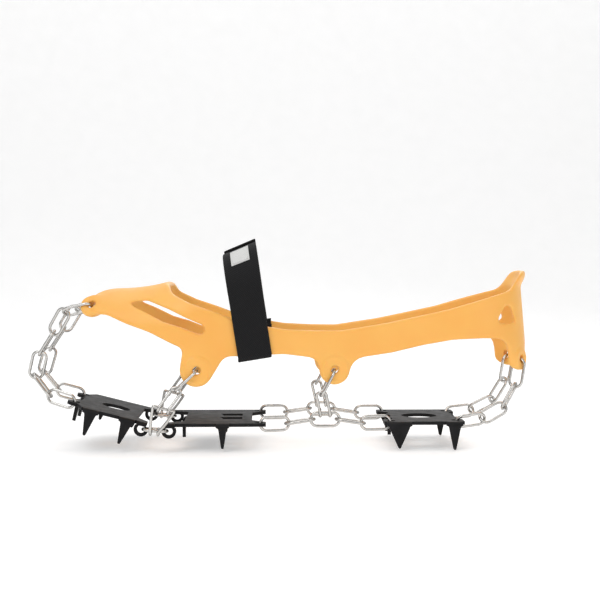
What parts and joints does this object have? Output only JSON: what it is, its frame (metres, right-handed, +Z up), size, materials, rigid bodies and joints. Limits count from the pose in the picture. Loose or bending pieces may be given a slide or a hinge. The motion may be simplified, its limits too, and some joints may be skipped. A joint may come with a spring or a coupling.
{
  "type": "shoe ice cleat",
  "caption": "Stretch-on ice cleat: elastic harness with an instep strap, wire chains and spiked steel plates that sit under a shoe.",
  "frame": {"origin": "middle of the heel plate at its top face, where the shoe's heel stands", "axes": "+X towards the heel, toe at -X; +Z up; +Y to the wearer's right of this left-right symmetric part"},
  "size_m": [0.3076, 0.1022, 0.1281],
  "materials": {
    "harness_elastomer": "satin moulded elastomer, orange",
    "spike_steel": "black coated steel, worn at the tips",
    "chain_wire": "bright round steel wire, welded links",
    "strap_webbing": "black woven loop webbing",
    "strap_hooks": "black hook tape",
    "strap_label": "white woven label, plain"
  },
  "bodies": {
    "harness": {"harness": "harness_elastomer", "strap_band": "strap_webbing", "strap_label": "strap_label"},
    "loose_end": {"strap_flap": "strap_webbing", "strap_hook_pad": "strap_hooks"},
    "front_plate_body": {"front_plate": "spike_steel"},
    "mid_plate_body": {"mid_plate": "spike_steel"},
    "heel_plate_body": {"heel_plate": "spike_steel"},
    "left_toe_chain_link_1": {"left_toe_chain_link_1": "chain_wire"},
    "left_toe_chain_link_2": {"left_toe_chain_link_2": "chain_wire"},
    "left_toe_chain_link_3": {"left_toe_chain_link_3": "chain_wire"},
    "left_toe_chain_link_4": {"left_toe_chain_link_4": "chain_wire"},
    "left_toe_chain_link_5": {"left_toe_chain_link_5": "chain_wire"},
    "left_toe_chain_link_6": {"left_toe_chain_link_6": "chain_wire"},
    "left_side_chain_1": {"left_side_chain_1": "chain_wire"},
    "left_hook_link_1": {"left_hook_link_1": "chain_wire"},
    "left_bell_link": {"left_bell_link": "chain_wire"},
    "left_joining_ring": {"left_joining_ring": "chain_wire"},
    "left_long_chain_link_1": {"left_long_chain_link_1": "chain_wire"},
    "left_long_chain_link_2": {"left_long_chain_link_2": "chain_wire"},
    "left_long_chain_link_3": {"left_long_chain_link_3": "chain_wire"},
    "left_long_chain_link_4": {"left_long_chain_link_4": "chain_wire"},
    "left_long_chain_link_5": {"left_long_chain_link_5": "chain_wire"},
    "left_side_chain_2": {"left_side_chain_2": "chain_wire"},
    "left_hook_link_2": {"left_hook_link_2": "chain_wire"},
    "left_heel_chain_link_1": {"left_heel_chain_link_1": "chain_wire"},
    "left_heel_chain_link_2": {"left_heel_chain_link_2": "chain_wire"},
    "left_heel_chain_link_3": {"left_heel_chain_link_3": "chain_wire"},
    "left_heel_chain_link_4": {"left_heel_chain_link_4": "chain_wire"},
    "right_toe_chain_link_1": {"right_toe_chain_link_1": "chain_wire"},
    "right_toe_chain_link_2": {"right_toe_chain_link_2": "chain_wire"},
    "right_toe_chain_link_3": {"right_toe_chain_link_3": "chain_wire"},
    "right_toe_chain_link_4": {"right_toe_chain_link_4": "chain_wire"},
    "right_toe_chain_link_5": {"right_toe_chain_link_5": "chain_wire"},
    "right_toe_chain_link_6": {"right_toe_chain_link_6": "chain_wire"},
    "right_side_chain_1": {"right_side_chain_1": "chain_wire"},
    "right_hook_link_1": {"right_hook_link_1": "chain_wire"},
    "right_bell_link": {"right_bell_link": "chain_wire"},
    "right_joining_ring": {"right_joining_ring": "chain_wire"},
    "right_long_chain_link_1": {"right_long_chain_link_1": "chain_wire"},
    "right_long_chain_link_2": {"right_long_chain_link_2": "chain_wire"},
    "right_long_chain_link_3": {"right_long_chain_link_3": "chain_wire"},
    "right_long_chain_link_4": {"right_long_chain_link_4": "chain_wire"},
    "right_long_chain_link_5": {"right_long_chain_link_5": "chain_wire"},
    "right_side_chain_2": {"right_side_chain_2": "chain_wire"},
    "right_hook_link_2": {"right_hook_link_2": "chain_wire"},
    "right_heel_chain_link_1": {"right_heel_chain_link_1": "chain_wire"},
    "right_heel_chain_link_2": {"right_heel_chain_link_2": "chain_wire"},
    "right_heel_chain_link_3": {"right_heel_chain_link_3": "chain_wire"},
    "right_heel_chain_link_4": {"right_heel_chain_link_4": "chain_wire"}
  },
  "joints": [
    {"name": "strap_loose_end_hinge", "type": "hinge", "parent": "harness", "child": "loose_end", "pos_m": [-0.1025, 0.0476, 0.0412], "axis": [-1, 0, 0], "range_deg": [0, 110]},
    {"name": "front_plate_rock", "type": "hinge", "parent": "harness", "child": "front_plate_body", "pos_m": [-0.1893, 0, 0.0059], "axis": [0, 1, 0], "range_deg": [-1.5, 1.5]},
    {"name": "mid_plate_rock", "type": "hinge", "parent": "harness", "child": "mid_plate_body", "pos_m": [-0.1236, 0, -0.0003], "axis": [0, 1, 0], "range_deg": [-1, 1]},
    {"name": "heel_plate_rock", "type": "hinge", "parent": "harness", "child": "heel_plate_body", "pos_m": [0, 0, -0.001], "axis": [0, 1, 0], "range_deg": [-0.6, 0.6]},
    {"name": "left_toe_chain_link_1_roll", "type": "hinge", "parent": "harness", "child": "left_toe_chain_link_1", "pos_m": [-0.20924, -0.02744, 0.06777], "axis": [-0.9681, 0.1177, -0.2212], "range_deg": [-6, 6]},
    {"name": "left_toe_chain_link_2_roll", "type": "hinge", "parent": "harness", "child": "left_toe_chain_link_2", "pos_m": [-0.22091, -0.02367, 0.06018], "axis": [-0.4969, 0.1988, -0.8447], "range_deg": [-8, 8]},
    {"name": "left_toe_chain_link_3_roll", "type": "hinge", "parent": "harness", "child": "left_toe_chain_link_3", "pos_m": [-0.22884, -0.02108, 0.04725], "axis": [-0.5335, 0.1367, -0.8347], "range_deg": [-8, 8]},
    {"name": "left_toe_chain_link_4_roll", "type": "hinge", "parent": "harness", "child": "left_toe_chain_link_4", "pos_m": [-0.23481, -0.01831, 0.03366], "axis": [-0.2466, 0.2252, -0.9426], "range_deg": [-6, 6]},
    {"name": "left_toe_chain_link_5_roll", "type": "hinge", "parent": "harness", "child": "left_toe_chain_link_5", "pos_m": [-0.23218, -0.01766, 0.02116], "axis": [0.609, -0.1351, -0.7815], "range_deg": [-6, 6]},
    {"name": "left_toe_chain_link_6_roll", "type": "hinge", "parent": "harness", "child": "left_toe_chain_link_6", "pos_m": [-0.22048, -0.02013, 0.01313], "axis": [0.9401, -0.1925, -0.2814], "range_deg": [-8, 8]},
    {"name": "left_side_chain_1_roll", "type": "hinge", "parent": "harness", "child": "left_side_chain_1", "pos_m": [-0.14345, -0.04572, 0.02608], "axis": [-0.7277, -0.0898, -0.68], "range_deg": [-6, 6]},
    {"name": "left_joining_ring_roll", "type": "hinge", "parent": "harness", "child": "left_joining_ring", "pos_m": [-0.16215, -0.039, -0.00382], "axis": [0.9966, 0, -0.0823], "range_deg": [-2, 2]},
    {"name": "left_long_chain_link_1_roll", "type": "hinge", "parent": "harness", "child": "left_long_chain_link_1", "pos_m": [-0.0907, -0.03161, -0.00107], "axis": [0.9887, 0.1485, 0.0183], "range_deg": [-8, 8]},
    {"name": "left_long_chain_link_2_roll", "type": "hinge", "parent": "harness", "child": "left_long_chain_link_2", "pos_m": [-0.07547, -0.03027, 0.00017], "axis": [0.9893, 0.0268, 0.1431], "range_deg": [-8, 8]},
    {"name": "left_long_chain_link_3_roll", "type": "hinge", "parent": "harness", "child": "left_long_chain_link_3", "pos_m": [-0.06019, -0.02937, 0.00118], "axis": [0.9959, 0.0894, -0.0113], "range_deg": [-3, 3]},
    {"name": "left_long_chain_link_4_roll", "type": "hinge", "parent": "harness", "child": "left_long_chain_link_4", "pos_m": [-0.0449, -0.02859, -0.00005], "axis": [0.9888, 0.0113, -0.1485], "range_deg": [-8, 8]},
    {"name": "left_long_chain_link_5_roll", "type": "hinge", "parent": "harness", "child": "left_long_chain_link_5", "pos_m": [-0.02959, -0.02828, -0.00107], "axis": [0.9995, 0.0293, 0.0152], "range_deg": [-8, 8]},
    {"name": "left_heel_chain_link_1_roll", "type": "hinge", "parent": "harness", "child": "left_heel_chain_link_1", "pos_m": [0.05833, -0.01873, 0.02812], "axis": [-0.1671, -0.0457, -0.9849], "range_deg": [-6, 6]},
    {"name": "left_heel_chain_link_2_roll", "type": "hinge", "parent": "harness", "child": "left_heel_chain_link_2", "pos_m": [0.05328, -0.02001, 0.01411], "axis": [-0.4981, -0.1231, -0.8583], "range_deg": [-8, 8]},
    {"name": "left_heel_chain_link_3_roll", "type": "hinge", "parent": "harness", "child": "left_heel_chain_link_3", "pos_m": [0.04309, -0.02201, 0.00419], "axis": [-0.8691, -0.1453, -0.4728], "range_deg": [-8, 8]},
    {"name": "left_heel_chain_link_4_roll", "type": "hinge", "parent": "harness", "child": "left_heel_chain_link_4", "pos_m": [0.02908, -0.02396, -0.00027], "axis": [-0.9865, -0.1131, -0.1184], "range_deg": [-3, 3]},
    {"name": "left_bell_swing", "type": "hinge", "parent": "harness", "child": "left_bell_link", "pos_m": [-0.16215, -0.0437, -0.00382], "axis": [0.9966, 0, -0.0823], "range_deg": [-4, 4]},
    {"name": "left_hook_1_knee", "type": "hinge", "parent": "left_bell_link", "child": "left_hook_link_1", "pos_m": [-0.15625, -0.0473, 0.00978], "axis": [0.9659, 0, -0.2588], "range_deg": [-9, 9]},
    {"name": "left_hook_2_swing", "type": "hinge", "parent": "harness", "child": "left_hook_link_2", "pos_m": [-0.06019, -0.02937, 0.00528], "axis": [0.9959, 0.0894, -0.0113], "range_deg": [-2.5, 2.5]},
    {"name": "left_side_chain_2_knee", "type": "hinge", "parent": "left_hook_link_2", "child": "left_side_chain_2", "pos_m": [-0.06265, -0.038, 0.01741], "axis": [0.9959, 0.0894, -0.0113], "range_deg": [-6, 6]},
    {"name": "right_toe_chain_link_1_roll", "type": "hinge", "parent": "harness", "child": "right_toe_chain_link_1", "pos_m": [-0.20924, 0.02744, 0.06777], "axis": [0.9681, 0.1177, 0.2212], "range_deg": [-6, 6]},
    {"name": "right_toe_chain_link_2_roll", "type": "hinge", "parent": "harness", "child": "right_toe_chain_link_2", "pos_m": [-0.22091, 0.02367, 0.06018], "axis": [0.4969, 0.1988, 0.8447], "range_deg": [-8, 8]},
    {"name": "right_toe_chain_link_3_roll", "type": "hinge", "parent": "harness", "child": "right_toe_chain_link_3", "pos_m": [-0.22884, 0.02108, 0.04725], "axis": [0.5335, 0.1367, 0.8347], "range_deg": [-8, 8]},
    {"name": "right_toe_chain_link_4_roll", "type": "hinge", "parent": "harness", "child": "right_toe_chain_link_4", "pos_m": [-0.23481, 0.01831, 0.03366], "axis": [0.2466, 0.2252, 0.9426], "range_deg": [-6, 6]},
    {"name": "right_toe_chain_link_5_roll", "type": "hinge", "parent": "harness", "child": "right_toe_chain_link_5", "pos_m": [-0.23218, 0.01766, 0.02116], "axis": [-0.609, -0.1351, 0.7815], "range_deg": [-6, 6]},
    {"name": "right_toe_chain_link_6_roll", "type": "hinge", "parent": "harness", "child": "right_toe_chain_link_6", "pos_m": [-0.22048, 0.02013, 0.01313], "axis": [-0.9401, -0.1925, 0.2814], "range_deg": [-8, 8]},
    {"name": "right_side_chain_1_roll", "type": "hinge", "parent": "harness", "child": "right_side_chain_1", "pos_m": [-0.14345, 0.04572, 0.02608], "axis": [0.7277, -0.0898, 0.68], "range_deg": [-6, 6]},
    {"name": "right_joining_ring_roll", "type": "hinge", "parent": "harness", "child": "right_joining_ring", "pos_m": [-0.16215, 0.039, -0.00382], "axis": [-0.9966, 0, 0.0823], "range_deg": [-2, 2]},
    {"name": "right_long_chain_link_1_roll", "type": "hinge", "parent": "harness", "child": "right_long_chain_link_1", "pos_m": [-0.0907, 0.03161, -0.00107], "axis": [-0.9887, 0.1485, -0.0183], "range_deg": [-8, 8]},
    {"name": "right_long_chain_link_2_roll", "type": "hinge", "parent": "harness", "child": "right_long_chain_link_2", "pos_m": [-0.07547, 0.03027, 0.00017], "axis": [-0.9893, 0.0268, -0.1431], "range_deg": [-8, 8]},
    {"name": "right_long_chain_link_3_roll", "type": "hinge", "parent": "harness", "child": "right_long_chain_link_3", "pos_m": [-0.06019, 0.02937, 0.00118], "axis": [-0.9959, 0.0894, 0.0113], "range_deg": [-3, 3]},
    {"name": "right_long_chain_link_4_roll", "type": "hinge", "parent": "harness", "child": "right_long_chain_link_4", "pos_m": [-0.0449, 0.02859, -0.00005], "axis": [-0.9888, 0.0113, 0.1485], "range_deg": [-8, 8]},
    {"name": "right_long_chain_link_5_roll", "type": "hinge", "parent": "harness", "child": "right_long_chain_link_5", "pos_m": [-0.02959, 0.02828, -0.00107], "axis": [-0.9995, 0.0293, -0.0152], "range_deg": [-8, 8]},
    {"name": "right_heel_chain_link_1_roll", "type": "hinge", "parent": "harness", "child": "right_heel_chain_link_1", "pos_m": [0.05833, 0.01873, 0.02812], "axis": [0.1671, -0.0457, 0.9849], "range_deg": [-6, 6]},
    {"name": "right_heel_chain_link_2_roll", "type": "hinge", "parent": "harness", "child": "right_heel_chain_link_2", "pos_m": [0.05328, 0.02001, 0.01411], "axis": [0.4981, -0.1231, 0.8583], "range_deg": [-8, 8]},
    {"name": "right_heel_chain_link_3_roll", "type": "hinge", "parent": "harness", "child": "right_heel_chain_link_3", "pos_m": [0.04309, 0.02201, 0.00419], "axis": [0.8691, -0.1453, 0.4728], "range_deg": [-8, 8]},
    {"name": "right_heel_chain_link_4_roll", "type": "hinge", "parent": "harness", "child": "right_heel_chain_link_4", "pos_m": [0.02908, 0.02396, -0.00027], "axis": [0.9865, -0.1131, 0.1184], "range_deg": [-3, 3]},
    {"name": "right_bell_swing", "type": "hinge", "parent": "harness", "child": "right_bell_link", "pos_m": [-0.16215, 0.0437, -0.00382], "axis": [-0.9966, 0, 0.0823], "range_deg": [-4, 4]},
    {"name": "right_hook_1_knee", "type": "hinge", "parent": "right_bell_link", "child": "right_hook_link_1", "pos_m": [-0.15625, 0.0473, 0.00978], "axis": [-0.9659, 0, 0.2588], "range_deg": [-9, 9]},
    {"name": "right_hook_2_swing", "type": "hinge", "parent": "harness", "child": "right_hook_link_2", "pos_m": [-0.06019, 0.02937, 0.00528], "axis": [-0.9959, 0.0894, 0.0113], "range_deg": [-2.5, 2.5]},
    {"name": "right_side_chain_2_knee", "type": "hinge", "parent": "right_hook_link_2", "child": "right_side_chain_2", "pos_m": [-0.06265, 0.038, 0.01741], "axis": [-0.9959, 0.0894, 0.0113], "range_deg": [-6, 6]}
  ],
  "couplings": [
    {"joint": "left_hook_1_knee", "follows": "left_bell_swing", "ratio": -2.08},
    {"joint": "left_side_chain_2_knee", "follows": "left_hook_2_swing", "ratio": -1.88},
    {"joint": "right_hook_1_knee", "follows": "right_bell_swing", "ratio": -2.08},
    {"joint": "right_side_chain_2_knee", "follows": "right_hook_2_swing", "ratio": -1.88}
  ]
}
